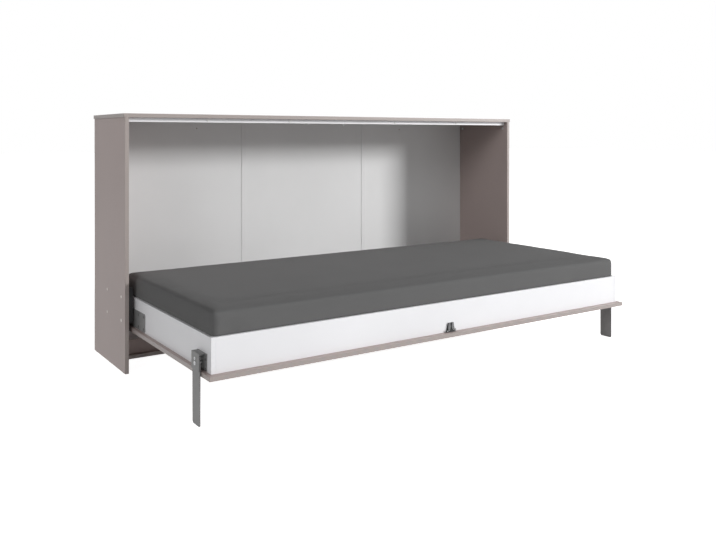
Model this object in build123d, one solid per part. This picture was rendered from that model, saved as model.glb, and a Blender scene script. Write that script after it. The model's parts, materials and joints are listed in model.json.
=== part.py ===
from build123d import *
import math
import os

# A wall bed that folds down sideways out of a low cabinet, shown open.
# The cabinet's width and height follow from the mattress.
# X runs along the cabinet, -Y is the room side, +Z is up, all sizes are millimetres.
# The origin is on the floor, midway along the cabinet and midway between the open
# bed's front edge and the cabinet's back.
# A reach is measured inwards from a cabinet side's outer face, and a depth is measured
# backwards from the cabinet's front plane.

# Cabinet
cabinet_depth = 436.0
board = 16.0
top_overhang = 4.0
glide_height = 3.0
glide_radius = 7.0
glide_inset = 30.0
back_inset = 42.0
back_thickness = 3.0
groove_depth = 6.0
back_panel_count = 3
joint_strip_width = 22.0
joint_strip_wall = 1.2
stop_rail_depth = 24.0
stop_rail_height = 18.0
base_board_depth = 201.0
kick_rail_depth = 221.0
kick_rail_height = 61.0
wall_rail_height = 80.0
wall_hole_radius = 3.0
wall_hole_spacing = 1200.0
wall_bracket_width = 16.0
wall_bracket_leg = 18.0
wall_bracket_plate = 2.0
wall_screw_drop = 10.0
buffer_radius = 5.0
buffer_positions = (-700.0, -300.0, 300.0, 700.0)

# Mattress
mattress_length = 2000.0
mattress_width = 900.0
mattress_thickness = 160.0
mattress_play = 2.0
mattress_crown = 6.0
mattress_top_round = 24.0
mattress_bottom_round = 14.0
mattress_corner_round = 32.0

# Fold geometry
pivot_depth = 50.0
pivot_height = 210.0
door_recess = 5.0
door_top_gap = 4.0
door_floor_gap = 25.0
door_end_gap = 16.0
frame_front_margin = 24.0
frame_rear = 190.0
frame_end_gap = 31.0
rail_height = 120.0
rail_board = 16.0

# Slatted base
slat_count = 15
slat_width = 68.0
slat_thickness = 8.0
ledge_width = 30.0
ledge_height = 29.0
holder_wall = 3.0
holder_length = 40.0
end_slat_margin = 60.0

# Hinge fittings
steel = 3.0
pivot_radius = 7.0
hub_wall = 6.0
hub_gap = 1.0
pivot_pin_end_gap = 0.5
bolt_pattern_depth = 192.0
bolt_pattern_height = 96.0
bolt_radius = 3.5
bolt_head_radius = 7.0
bolt_head_height = 3.0
hinge_plate_front = 24.0
hinge_plate_back = 274.0
hinge_plate_bottom = 168.0
hinge_plate_top = 344.0
guard_reach = 25.0
guard_foot_reach = 10.0
guard_step_height = 202.0
bed_plate_front = -105.0
bed_plate_back = 122.0
bed_plate_bottom = 184.0
bed_plate_top = 256.0
bed_plate_round = 9.0
plate_screw_radius = 3.0
plate_screw_head = 5.0
plate_screw_head_height = 2.4
plate_screw_inset = 12.0
plate_screw_spacing = 60.0
screw_bite = 12.0
cap_radius = 6.0
cap_height = 1.2

# Gas struts
strut_anchor_depth = 255.0
strut_anchor_height = 322.0
strut_crank = 50.0
strut_crank_angle = -20.0
strut_tube_radius = 9.0
strut_tube_wall = 1.5
strut_tube_length = 150.0
strut_neck = 14.0
strut_neck_radius = 6.0
strut_rod_radius = 4.0
strut_pin_radius = 4.0
strut_eye_radius = 10.0
strut_eye_width = 8.0
strut_shoulder_radius = 6.0
strut_mid_reach = 32.0
strut_end_gap = 0.3
rod_socket_radius = 6.0
rod_socket_length = 18.0
rod_ring_radius = 9.0
rod_inside = 30.0
gland_length = 8.0
piston_length = 6.0

# Folding legs
leg_reach = 25.5
leg_width = 63.0
leg_thickness = 3.0
leg_foot_round = 8.0
leg_pivot_rise = 25.0
leg_front_margin = 67.0
leg_pin_radius = 4.0
leg_pin_grip = 12.0
leg_stop_radius = 3.0
leg_stop_offset = 16.0
leg_stop_head = 5.0
leg_slot_play = 0.4
leg_fold_angle = 90.0
cheek_reach = 22.0
bracket_plate_front = 12.0
bracket_plate_rear = 4.0
bracket_web_gap = 1.5
bracket_bottom_gap = 3.0
bracket_screw_rise = 16.0
spacer_radius = 8.0

# Latch
latch_base_width = 46.0
latch_top_width = 30.0
latch_height = 36.0
latch_plate = 2.0
latch_total = 8.0
latch_bottom_gap = 1.0
latch_wall = 6.5
latch_cover_rise = 3.0
latch_screw_offset = 19.5
latch_screw_rise = 3.8
latch_screw_radius = 1.5
latch_screw_head = 2.8
latch_screw_head_depth = 1.2
jaw_thickness = 4.0
jaw_pivot_spacing = 24.0
jaw_pivot_rise = 7.0
jaw_pin_radius = 1.5
jaw_root_radius = 3.6
jaw_tip_gap = 9.0
jaw_tip_half_width = 13.0
jaw_hook_gap = 4.0
jaw_seat_rise = 14.0
strike_radius = 3.0
strike_clearance = 0.4
strike_end_gap = 0.8
strike_bury = 12.0

# Small fixings
dowel_radius = 4.0
dowel_length = 30.0
dowel_bite = 10.0
dowel_inset = 18.0
frame_dowel_inset = 30.0
base_dowel_insets = (32.0, 128.0)
top_dowel_offset = 80.0
cam_radius = 7.5
cam_length = 12.0
cam_drop = 34.0
cam_depths = (37.0, 369.0)
cam_bolt_radius = 3.0
cam_bolt_bite = 11.0
angle_leg = 30.0
angle_plate = 2.0
angle_width = 20.0
angle_spacing = 230.0

# Clearances
fit_gap = 0.1
running_gap = 0.05
sheet_gap = 0.2
soft_gap = 0.3

# Places that follow from the sizes above
fold_sum = pivot_depth + pivot_height
frame_front = frame_rear - mattress_width - 2 * (mattress_play + rail_board)
frame_end = board + frame_end_gap
door_reach = frame_front_margin - frame_front
top_underside = door_reach + door_top_gap + fold_sum
cabinet_height = top_underside + board
cabinet_width = mattress_length + 2 * (mattress_play + rail_board + frame_end)
half_width = cabinet_width / 2
front_plane = (door_reach - cabinet_depth) / 2
door_bottom = pivot_height - pivot_depth + door_recess
door_top = door_bottom + board
door_rear = fold_sum - door_floor_gap
door_end = board + door_end_gap
rail_top = door_top + rail_height
back_face = cabinet_depth - back_inset - back_thickness
slat_bottom = door_top + ledge_height + holder_wall
mattress_bottom = slat_bottom + slat_thickness + holder_wall + soft_gap
hinge_face = board + steel
bed_plate_reach = frame_end - steel
leg_pivot_height = door_top + leg_pivot_rise
leg_middle = leg_front_margin + leg_width / 2 - door_reach
strike_depth = pivot_depth + door_top + latch_bottom_gap + jaw_seat_rise - pivot_height


def left_x(reach):
    """X of a place on the left, at this reach from the cabinet side's outer face."""
    return reach - half_width


def row_y(depth):
    """Y of a place at this depth behind the cabinet's front plane."""
    return front_plane + depth


def block(x_range, y_range, z_range):
    """A box between two values on each axis."""
    middle = [sum(span) / 2 for span in (x_range, y_range, z_range)]
    size = [span[1] - span[0] for span in (x_range, y_range, z_range)]
    return Pos(*middle) * Box(*size)


def left_block(reaches, depths, heights):
    """A box on the left side, given by its reaches, depths and heights."""
    return block([left_x(r) for r in reaches], [row_y(d) for d in depths], heights)


def long_block(reach, depths, heights):
    """A box along the whole cabinet that starts at this reach from both sides."""
    return block((left_x(reach), -left_x(reach)), [row_y(d) for d in depths], heights)


def rod_x(radius, x_range, y, z):
    """A cylinder along X."""
    length = x_range[1] - x_range[0]
    return Pos(sum(x_range) / 2, y, z) * Rot(0, 90, 0) * Cylinder(radius, length)


def rod_y(radius, x, y_range, z):
    """A cylinder along Y."""
    length = y_range[1] - y_range[0]
    return Pos(x, sum(y_range) / 2, z) * Rot(90, 0, 0) * Cylinder(radius, length)


def rod_z(radius, x, y, z_range):
    """A cylinder along Z."""
    length = z_range[1] - z_range[0]
    return Pos(x, y, sum(z_range) / 2) * Cylinder(radius, length)


def left_rod(radius, reaches, depth, height):
    """A cylinder along X on the left side."""
    return rod_x(radius, [left_x(r) for r in reaches], row_y(depth), height)


def mirrored(piece):
    """The same piece on the cabinet's other side."""
    return mirror(piece, about=Plane.YZ)


def both_sides(pieces):
    """The left pieces and their mirror images."""
    return pieces + [mirrored(piece) for piece in pieces]


# Joinery of the cabinet
def side_dowel_points():
    """Depth and height of each level dowel between a cabinet side and its cross boards."""
    base_middle = glide_height + board / 2
    kick_middle = kick_rail_depth + board / 2
    rear_middle = back_face + back_thickness + sheet_gap + board / 2
    kick_bottom = glide_height + board
    points = [(base_board_depth + inset, base_middle) for inset in base_dowel_insets]
    rails = ((kick_middle, kick_bottom, kick_rail_height),
             (rear_middle, top_underside - wall_rail_height, wall_rail_height),
             (rear_middle, glide_height, wall_rail_height))
    for depth, bottom, height in rails:
        points += [(depth, bottom + dowel_inset), (depth, bottom + height - dowel_inset)]
    return points


def side_dowels(radius_gap=0.0, end_gap=0.0):
    """Level dowels of the left side, or the holes for them."""
    reaches = (board - dowel_bite - end_gap, board - dowel_bite + dowel_length + end_gap)
    radius = dowel_radius + radius_gap
    return [left_rod(radius, reaches, depth, height) for depth, height in side_dowel_points()]


def top_dowels(radius_gap=0.0, end_gap=0.0):
    """Upright dowels between the left side and the top, or the holes for them."""
    top = top_underside + dowel_bite + end_gap
    bottom = top_underside + dowel_bite - dowel_length - end_gap
    x = left_x(board / 2)
    middle = sum(cam_depths) / 2
    depths = (middle - top_dowel_offset, middle + top_dowel_offset)
    return [rod_z(dowel_radius + radius_gap, x, row_y(d), (bottom, top)) for d in depths]


def cam_discs(radius_gap=0.0):
    """Cam locks in the left side's inner face, or the bores for them."""
    height = top_underside - cam_drop
    reaches = (board - cam_length, board)
    return [left_rod(cam_radius + radius_gap, reaches, d, height) for d in cam_depths]


def cam_bolts(radius_gap=0.0, end_gap=0.0):
    """Bolts from the cam locks up into the top, or the holes for them."""
    bottom = top_underside - cam_drop + cam_radius + fit_gap
    top = top_underside + cam_bolt_bite + end_gap
    x = left_x(board / 2)
    return [rod_z(cam_bolt_radius + radius_gap, x, row_y(d), (bottom, top)) for d in cam_depths]


def hinge_bolt_points():
    """Depth and height of the three plain bolts; the fourth place holds the pivot pin."""
    depths = (pivot_depth, pivot_depth + bolt_pattern_depth)
    heights = (pivot_height, pivot_height + bolt_pattern_height)
    points = [(d, h) for d in depths for h in heights]
    return [point for point in points if point != (pivot_depth, pivot_height)]


def hinge_holes():
    """Holes through the left side and its hinge plate."""
    reaches = (0, hinge_face)
    holes = [left_rod(bolt_radius + fit_gap, reaches, d, h) for d, h in hinge_bolt_points()]
    holes.append(left_rod(pivot_radius + fit_gap, reaches, pivot_depth, pivot_height))
    return holes


def wall_holes():
    """Holes for the screws that hold the cabinet to a wall."""
    height = top_underside - wall_rail_height / 2
    y_range = (row_y(back_face - back_thickness), row_y(cabinet_depth))
    xs = (-wall_hole_spacing / 2, wall_hole_spacing / 2)
    holes = [rod_y(wall_hole_radius, x, y_range, height) for x in xs]
    centre_height = top_underside - wall_screw_drop
    holes.append(rod_y(wall_hole_radius, 0, y_range, centre_height))
    return holes


# Cabinet boards
def side_panel():
    panel = left_block((0, board), (0, cabinet_depth), (glide_height, top_underside))
    depths = (back_face - sheet_gap, back_face + back_thickness + sheet_gap)
    groove = left_block((board - groove_depth, board), depths, (glide_height, top_underside))
    tools = [groove] + hinge_holes() + cam_discs(fit_gap) + cam_bolts(fit_gap)
    tools += side_dowels(fit_gap, fit_gap) + top_dowels(fit_gap, fit_gap)
    return panel - tools


def top_panel():
    panel = long_block(-top_overhang, (0, cabinet_depth), (top_underside, cabinet_height))
    depths = (back_face - sheet_gap, back_face + back_thickness + sheet_gap)
    groove = long_block(board - groove_depth, depths, (top_underside, top_underside + groove_depth))
    drilled = both_sides(top_dowels(fit_gap, fit_gap) + cam_bolts(fit_gap, fit_gap))
    return panel - ([groove] + drilled)


def stop_rail():
    depths = (stop_rail_depth, stop_rail_depth + board)
    rail = long_block(board, depths, (top_underside - stop_rail_height, top_underside))
    return rail - [strike_pin(fit_gap)]


def base_board():
    depths = (base_board_depth, back_face - sheet_gap)
    panel = long_block(board, depths, (glide_height, glide_height + board))
    return panel - both_sides(side_dowels(fit_gap, fit_gap))


def kick_rail():
    depths = (kick_rail_depth, kick_rail_depth + board)
    bottom = glide_height + board
    rail = long_block(board, depths, (bottom, bottom + kick_rail_height))
    return rail - both_sides(side_dowels(fit_gap, fit_gap))


def wall_rail(bottom):
    front = back_face + back_thickness + sheet_gap
    rail = long_block(board, (front, front + board), (bottom, bottom + wall_rail_height))
    return rail - (both_sides(side_dowels(fit_gap, fit_gap)) + wall_holes() + strip_slots())


def panel_seams():
    """X of each seam between two back panels."""
    step = cabinet_width / back_panel_count
    return [left_x(step * k) for k in range(1, back_panel_count)]


def back_panel(index):
    """One sheet of the cabinet's back, held in the grooves and the joint strips."""
    edge = left_x(board - groove_depth + sheet_gap)
    seam_gap = joint_strip_wall / 2 + sheet_gap
    edges = [edge] + [x + side for x in panel_seams() for side in (-seam_gap, seam_gap)] + [-edge]
    x_range = edges[2 * index:2 * index + 2]
    y_range = (row_y(back_face), row_y(back_face + back_thickness))
    top = top_underside + groove_depth - sheet_gap
    return block(x_range, y_range, (glide_height, top)) - wall_holes()


def strip_profile(x, flange_gap=0.0):
    """H section strip between two back panels, or the slot behind it."""
    front = back_face - sheet_gap
    rear = back_face + back_thickness + sheet_gap
    half_flange = joint_strip_width / 2 + flange_gap
    flange = (x - half_flange, x + half_flange)
    web = (x - joint_strip_wall / 2, x + joint_strip_wall / 2)
    heights = (glide_height + board + flange_gap, top_underside - flange_gap)
    face = block(flange, (row_y(front - joint_strip_wall), row_y(front)), heights)
    back = block(flange, (row_y(rear), row_y(rear + joint_strip_wall + flange_gap)), heights)
    return face + block(web, (row_y(front), row_y(rear)), heights) + back


def strip_slots():
    """Shallow slots that let the strips' rear flanges pass the rear rails."""
    rear = back_face + back_thickness + sheet_gap
    depths = [row_y(rear - sheet_gap), row_y(rear + joint_strip_wall + sheet_gap)]
    half_slot = joint_strip_width / 2 + sheet_gap
    return [block((x - half_slot, x + half_slot), depths, (0, cabinet_height))
            for x in panel_seams()]


def joint_strips():
    return [strip_profile(x) for x in panel_seams()]


def wall_bracket():
    """Small angle under the top that a wall screw passes through."""
    xs = (-wall_bracket_width / 2, wall_bracket_width / 2)
    front = back_face - wall_bracket_plate
    upright = block(xs, (row_y(front), row_y(back_face)),
                    (top_underside - wall_bracket_leg, top_underside))
    shelf = block(xs, (row_y(back_face - wall_bracket_leg), row_y(back_face)),
                  (top_underside - wall_bracket_plate, top_underside))
    return upright + shelf - wall_holes()


def floor_glides():
    side_x = left_x(board / 2)
    spots = [(side_x, d) for d in (glide_inset, cabinet_depth / 2, cabinet_depth - glide_inset)]
    spots.append((left_x(cabinet_width / 4), (base_board_depth + back_face) / 2))
    return both_sides([rod_z(glide_radius, x, row_y(d), (0, glide_height)) for x, d in spots])


def door_buffers():
    """Felt dots on the stop rail that the closed door rests against."""
    door_face = door_recess + board
    y_range = (row_y(door_face + soft_gap), row_y(stop_rail_depth))
    height = top_underside - stop_rail_height / 2
    return [rod_y(buffer_radius, x, y_range, height) for x in buffer_positions]


# Fixed side of the hinge
def hinge_plate():
    """Pressed plate on the cabinet side with a bent guard along its front edge."""
    heights = (hinge_plate_bottom, hinge_plate_top)
    sheet = left_block((board, hinge_face), (hinge_plate_front, hinge_plate_back), heights)
    guard_depths = (hinge_plate_front, hinge_plate_front + steel)
    guard = left_block((board, board + guard_reach), guard_depths,
                       (guard_step_height, hinge_plate_top))
    foot = left_block((board, board + guard_foot_reach), guard_depths,
                      (hinge_plate_bottom, guard_step_height))
    anchor = left_rod(strut_pin_radius + fit_gap, (board, hinge_face),
                      strut_anchor_depth, strut_anchor_height)
    return sheet + guard + foot - (hinge_holes() + [anchor])


def hinge_bolts():
    bolts = []
    for depth, height in hinge_bolt_points():
        shank = left_rod(bolt_radius, (0, hinge_face), depth, height)
        head = left_rod(bolt_head_radius, (hinge_face, hinge_face + bolt_head_height), depth, height)
        bolts.append(shank + head)
    return both_sides(bolts)


def cover_caps():
    """Plain caps on the cabinet's outer faces over the bolts and the pivot."""
    points = hinge_bolt_points() + [(pivot_depth, pivot_height)]
    return both_sides([left_rod(cap_radius, (-cap_height, 0), d, h) for d, h in points])


def pivot_pin():
    return left_rod(pivot_radius, (0, frame_end - pivot_pin_end_gap), pivot_depth, pivot_height)


def strut_pin():
    """Fixed stud that the gas strut's tube turns on."""
    eye_half = strut_eye_width / 2
    inner = strut_mid_reach - eye_half - strut_end_gap
    outer = strut_mid_reach + eye_half + strut_end_gap
    place = (strut_anchor_depth, strut_anchor_height)
    pin = left_rod(strut_pin_radius, (board, outer + steel), *place)
    shoulder = left_rod(strut_shoulder_radius, (hinge_face, inner), *place)
    head = left_rod(bolt_head_radius, (outer, outer + steel), *place)
    return pin + shoulder + head


# Latch
def strike_pin(radius_gap=0.0):
    """Stud under the stop rail that the latch grips, or the hole for it."""
    rail_front = fold_sum - frame_front
    bottom = rail_front + latch_plate + strike_end_gap
    top = top_underside - stop_rail_height + strike_bury + radius_gap
    return rod_z(strike_radius + radius_gap, 0, row_y(strike_depth), (bottom, top))


def latch_levels():
    """Heights of the latch case's bottom, its jaw pivots and the jaws' tips."""
    bottom = door_top + latch_bottom_gap
    return bottom, bottom + jaw_pivot_rise, bottom + latch_height


def latch_screws(radius_gap=0.0):
    """Sunk screws through the latch case into the front rail, or the holes for them."""
    height = latch_levels()[0] + latch_screw_rise
    face = row_y(frame_front)
    start = face - latch_total
    shank_end = face + screw_bite + radius_gap
    head_end = start + latch_screw_head_depth + radius_gap
    screws = []
    for x in (-latch_screw_offset, latch_screw_offset):
        shank = rod_y(latch_screw_radius + radius_gap, x, (start, shank_end), height)
        screws.append(shank + rod_y(latch_screw_head + radius_gap, x, (start, head_end), height))
    return screws


def latch_case():
    """Tapered back plate with a bar over the jaws' roots."""
    bottom, pivots, top = latch_levels()
    face = row_y(frame_front)
    outline = Polyline((-latch_base_width / 2, bottom), (latch_base_width / 2, bottom),
                       (latch_top_width / 2, top), (-latch_top_width / 2, top), close=True)
    plate = extrude(Plane.XZ.offset(-face) * make_face(outline), latch_plate)
    cover_heights = (bottom, pivots + latch_cover_rise)
    xs = (-latch_base_width / 2, latch_base_width / 2)
    jaw_front = face - latch_plate - sheet_gap - jaw_thickness - sheet_gap
    cover = block(xs, (face - latch_total, jaw_front), cover_heights)
    wall = block((xs[0], xs[0] + latch_wall), (jaw_front, face - latch_plate),
                 (bottom, pivots))
    holes = [rod_y(jaw_pin_radius + fit_gap, x, (face - latch_total, face), pivots)
             for x in jaw_pivots()]
    return plate + cover + wall + mirrored(wall) - (holes + latch_screws(fit_gap))


def jaw_pivots():
    return (-jaw_pivot_spacing / 2, jaw_pivot_spacing / 2)


def jaw_pins():
    _, pivots, _ = latch_levels()
    face = row_y(frame_front)
    return [rod_y(jaw_pin_radius, x, (face - latch_total, face), pivots) for x in jaw_pivots()]


def latch_jaw():
    """Left jaw: a root round its pin, a seat for the strike, a hook and a flared tip."""
    bottom, pivots, top = latch_levels()
    seat = bottom + jaw_seat_rise
    seat_half = strike_radius + strike_clearance
    hook = seat + strike_radius + strike_clearance
    root = jaw_pivot_spacing / 2
    outer = [(-root - jaw_root_radius, pivots), (-jaw_tip_half_width, top)]
    tip = [(-jaw_tip_gap / 2, top), (-jaw_hook_gap / 2, hook + jaw_hook_gap)]
    inner = [(-jaw_hook_gap / 2, hook), (-seat_half, hook), (-seat_half, seat - seat_half),
             (-root + jaw_root_radius, pivots)]
    outline = Polyline(*(outer + tip + inner), close=True)
    back = row_y(frame_front) - latch_plate - sheet_gap
    body = extrude(Plane.XZ.offset(-back) * make_face(outline), jaw_thickness)
    y_range = (back - jaw_thickness, back)
    body += rod_y(jaw_root_radius, -root, y_range, pivots)
    return body - [rod_y(jaw_pin_radius + running_gap, -root, y_range, pivots)]


# Bed frame
def door_panel():
    return long_block(door_end, (-door_reach, door_rear), (door_bottom, door_top))


def frame_dowels(radius_gap=0.0, end_gap=0.0):
    """Dowels of the left end rail into the long rails, or the holes for them."""
    start = frame_end + rail_board - dowel_bite - end_gap
    reaches = (start, start + dowel_length + 2 * end_gap)
    depths = (frame_front + rail_board / 2, frame_rear - rail_board / 2)
    heights = (door_top + frame_dowel_inset, rail_top - frame_dowel_inset)
    radius = dowel_radius + radius_gap
    return [left_rod(radius, reaches, d, h) for d in depths for h in heights]


def end_rail():
    reaches = (frame_end, frame_end + rail_board)
    rail = left_block(reaches, (frame_front, frame_rear), (door_top, rail_top))
    tools = frame_dowels(fit_gap, fit_gap) + bed_plate_screws(fit_gap)
    tools += [leg_pin(fit_gap)] + leg_plate_screws(fit_gap)
    return rail - tools


def long_rail(front):
    """A rail between the end rails, at this depth."""
    depths = (front, front + rail_board)
    rail = long_block(frame_end + rail_board, depths, (door_top, rail_top))
    return rail - both_sides(frame_dowels(fit_gap, fit_gap))


def front_rail():
    return long_rail(frame_front) - latch_screws(fit_gap)


def slat_ledge(front):
    """Batten that carries the slats and ties a long rail to the door panel."""
    depths = (front, front + ledge_width)
    reach = frame_end + rail_board
    return long_block(reach, depths, (door_top, door_top + ledge_height))


def slat_places():
    """X of each slat's middle."""
    first = end_slat_margin - mattress_length / 2
    step = -2 * first / (slat_count - 1)
    return [first + step * k for k in range(slat_count)]


def slats():
    ends = (frame_front + rail_board + mattress_play, frame_rear - rail_board - mattress_play)
    y_range = [row_y(d) for d in ends]
    heights = (slat_bottom, slat_bottom + slat_thickness)
    half = slat_width / 2
    return [block((x - half, x + half), y_range, heights) for x in slat_places()]


def slat_holders():
    """Sockets on the ledges that the slats' ends sit in."""
    half_slat = slat_width / 2 + sheet_gap
    half = half_slat + holder_wall
    heights = (slat_bottom - holder_wall, slat_bottom + slat_thickness + holder_wall)
    cavity_heights = (slat_bottom, slat_bottom + slat_thickness + sheet_gap)
    front = frame_front + rail_board
    rear = frame_rear - rail_board
    spans = ((front, front + holder_length), (rear - holder_length, rear))
    cavities = ((front + mattress_play / 2, front + holder_length),
                (rear - holder_length, rear - mattress_play / 2))
    sockets = []
    for x in slat_places():
        for span, cavity in zip(spans, cavities):
            shell = block((x - half, x + half), [row_y(d) for d in span], heights)
            slot = block((x - half_slat, x + half_slat), [row_y(d) for d in cavity],
                         cavity_heights)
            sockets.append(shell - slot)
    return sockets


def frame_angles():
    """Steel angles inside the end rails that tie them to the door panel."""
    reach = frame_end + rail_board
    middle = (frame_rear + frame_front) / 2
    angles = []
    for depth in (middle - angle_spacing, middle, middle + angle_spacing):
        depths = (depth - angle_width / 2, depth + angle_width / 2)
        upright = left_block((reach, reach + angle_plate), depths, (door_top, door_top + angle_leg))
        foot = left_block((reach, reach + angle_leg), depths, (door_top, door_top + angle_plate))
        angles.append(upright + foot)
    return both_sides(angles)


# Moving side of the hinge
def bed_plate_screws(radius_gap=0.0):
    """Screws that hold the bed plate to the left end rail, or the holes for them."""
    first = bed_plate_front + plate_screw_inset
    low = bed_plate_bottom + plate_screw_inset
    high = bed_plate_top - plate_screw_inset
    spots = [(d, h) for d in (first, first + plate_screw_spacing) for h in (low, high)]
    spots.append((bed_plate_back - plate_screw_inset, high))
    return [plate_screw(spot, radius_gap) for spot in spots]


def plate_screw(spot, radius_gap):
    """A screw through steel into the left end rail, headless where it is a hole."""
    tip = frame_end + screw_bite + radius_gap
    shank = left_rod(plate_screw_radius + radius_gap, (bed_plate_reach, tip), *spot)
    if radius_gap:
        return shank
    head_reaches = (bed_plate_reach - plate_screw_head_height, bed_plate_reach)
    return shank + left_rod(plate_screw_head, head_reaches, *spot)


def bed_plate():
    """Plate on the end rail with the hub that turns on the pivot pin."""
    sheet = left_block((bed_plate_reach, frame_end), (bed_plate_front, bed_plate_back),
                       (bed_plate_bottom, bed_plate_top))
    sheet = fillet(sheet.edges().filter_by(Axis.X), bed_plate_round)
    hub_start = hinge_face + hub_gap
    hub = left_rod(pivot_radius + hub_wall, (hub_start, bed_plate_reach), pivot_depth, pivot_height)
    bore = left_rod(pivot_radius + running_gap, (hub_start, frame_end), pivot_depth, pivot_height)
    return sheet + hub - ([bore] + bed_plate_screws(fit_gap))


# Folding legs
def leg_pin(radius_gap=0.0):
    """Pivot bolt of the left leg, or the hole for it in the end rail."""
    tip = frame_end + leg_pin_grip + radius_gap
    shank = left_rod(leg_pin_radius + radius_gap, (cheek_reach, tip), leg_middle, leg_pivot_height)
    if radius_gap:
        return shank
    head_reaches = (cheek_reach - plate_screw_head_height, cheek_reach)
    return shank + left_rod(bolt_head_radius, head_reaches, leg_middle, leg_pivot_height)


def leg_stop_pin():
    height = leg_pivot_height + leg_stop_offset
    shank = left_rod(leg_stop_radius, (cheek_reach, frame_end), leg_middle, height)
    head_reaches = (cheek_reach - plate_screw_head_height, cheek_reach)
    return shank + left_rod(leg_stop_head, head_reaches, leg_middle, height)


def leg_spacer():
    """Tube on the pivot bolt that holds the leg away from the bracket plate."""
    reaches = (leg_reach + leg_thickness + sheet_gap, bed_plate_reach)
    tube = left_rod(spacer_radius, reaches, leg_middle, leg_pivot_height)
    bore = left_rod(leg_pin_radius + fit_gap, reaches, leg_middle, leg_pivot_height)
    return tube - bore


def leg_plate_spots():
    """Places on the strip of the bracket's plate that shows in front of the leg."""
    depth = leg_middle - leg_width / 2 - bracket_plate_front / 2
    heights = (leg_pivot_height - bracket_screw_rise, leg_pivot_height + bracket_screw_rise)
    return [(depth, h) for h in heights]


def leg_plate_screws(radius_gap=0.0):
    """Screws that hold the leg bracket to the left end rail, or the holes for them."""
    return [plate_screw(spot, radius_gap) for spot in leg_plate_spots()]


def leg_bracket():
    """Folded bracket: a plate on the end rail, a web on top and a cheek outside the leg."""
    half = leg_width / 2
    front = leg_middle - half
    rear = leg_middle + half
    web_bottom = leg_pivot_height + half + bracket_web_gap
    web_top = web_bottom + steel
    bottom = door_top + bracket_bottom_gap
    plate = left_block((bed_plate_reach, frame_end),
                       (front - bracket_plate_front, rear + bracket_plate_rear),
                       (bottom, web_top))
    cheek = left_block((cheek_reach, cheek_reach + steel), (front, rear), (bottom, web_top))
    web = left_block((cheek_reach, frame_end), (front, rear), (web_bottom, web_top))
    pin = left_rod(leg_pin_radius + fit_gap, (cheek_reach, frame_end), leg_middle, leg_pivot_height)
    stop = left_rod(leg_stop_radius + fit_gap, (cheek_reach, frame_end), leg_middle,
                    leg_pivot_height + leg_stop_offset)
    return plate + cheek + web - ([pin, stop] + leg_plate_screws(fit_gap))


def leg():
    """Flat steel leg with a round head, rounded foot corners and a curved stop slot."""
    half = leg_width / 2
    reaches = (leg_reach, leg_reach + leg_thickness)
    bar = left_block(reaches, (leg_middle - half, leg_middle + half), (0, leg_pivot_height))
    foot_edges = bar.edges().filter_by(Axis.X).group_by(Axis.Z)[0]
    bar = fillet(foot_edges, leg_foot_round)
    bar += left_rod(half, reaches, leg_middle, leg_pivot_height)
    slot_radius = leg_stop_radius + leg_slot_play
    slot = left_rod(leg_stop_offset + slot_radius, reaches, leg_middle, leg_pivot_height)
    slot -= left_rod(leg_stop_offset - slot_radius, reaches, leg_middle, leg_pivot_height)
    quarter = left_block(reaches, (leg_middle, leg_middle + leg_width),
                         (leg_pivot_height, leg_pivot_height + leg_width))
    slot_ends = [left_rod(slot_radius, reaches, leg_middle + leg_stop_offset * math.sin(a),
                          leg_pivot_height + leg_stop_offset * math.cos(a))
                 for a in (0.0, math.radians(leg_fold_angle))]
    bore = left_rod(leg_pin_radius + running_gap, reaches, leg_middle, leg_pivot_height)
    return bar - ([slot & quarter] + slot_ends + [bore])


# Gas struts
def strut_points():
    """Depth and height of the strut's fixed end and of its end on the open bed."""
    angle = math.radians(strut_crank_angle)
    anchor = (strut_anchor_depth, strut_anchor_height)
    crank = (pivot_depth + strut_crank * math.cos(angle),
             pivot_height + strut_crank * math.sin(angle))
    return anchor, crank


def along_strut(piece):
    """Place a piece that is drawn along +Z from the fixed end, onto the left strut's line."""
    anchor, crank = strut_points()
    run = (crank[0] - anchor[0], crank[1] - anchor[1])
    tilt = math.degrees(math.atan2(-run[0], run[1]))
    return Pos(left_x(strut_mid_reach), row_y(anchor[0]), anchor[1]) * Rot(tilt, 0, 0) * piece


def strut_length():
    anchor, crank = strut_points()
    return math.dist(anchor, crank)


def strut_eye(radius, middle):
    """A ring across the strut at this distance from its fixed end."""
    return rod_x(radius, (-strut_eye_width / 2, strut_eye_width / 2), 0, middle)


def strut_tube():
    """Gas strut tube with its eye, closed end and gland."""
    end = strut_neck + strut_tube_length
    bore_radius = strut_tube_radius - strut_tube_wall
    tube = rod_z(strut_tube_radius, 0, 0, (strut_neck, end))
    neck = rod_z(strut_neck_radius, 0, 0, (bolt_head_radius + fit_gap, strut_neck))
    bore = rod_z(bore_radius, 0, 0, (strut_neck + piston_length, end - gland_length))
    gland = rod_z(strut_rod_radius + running_gap, 0, 0, (end - gland_length, end))
    hole = rod_x(strut_pin_radius + running_gap, (-strut_eye_width, strut_eye_width), 0, 0)
    body = neck + strut_eye(strut_eye_radius, 0) + tube
    return along_strut(body - [bore, gland, hole])


def strut_rod():
    """Gas strut rod with its piston, and the end ring and stud at the bed plate."""
    length = strut_length()
    bore_radius = strut_tube_radius - strut_tube_wall
    rod = rod_z(strut_rod_radius, 0, 0, (rod_inside, length - rod_socket_length / 2))
    piston = rod_z(bore_radius - fit_gap, 0, 0, (rod_inside, rod_inside + piston_length))
    socket = rod_z(rod_socket_radius, 0, 0, (length - rod_socket_length, length - rod_socket_radius))
    stud_end = bed_plate_reach - strut_end_gap - strut_mid_reach
    stud = rod_x(strut_pin_radius, (-strut_eye_width / 2, stud_end), 0, length)
    ring = strut_eye(rod_ring_radius, length)
    return along_strut(rod + piston + socket + ring + stud)


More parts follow.
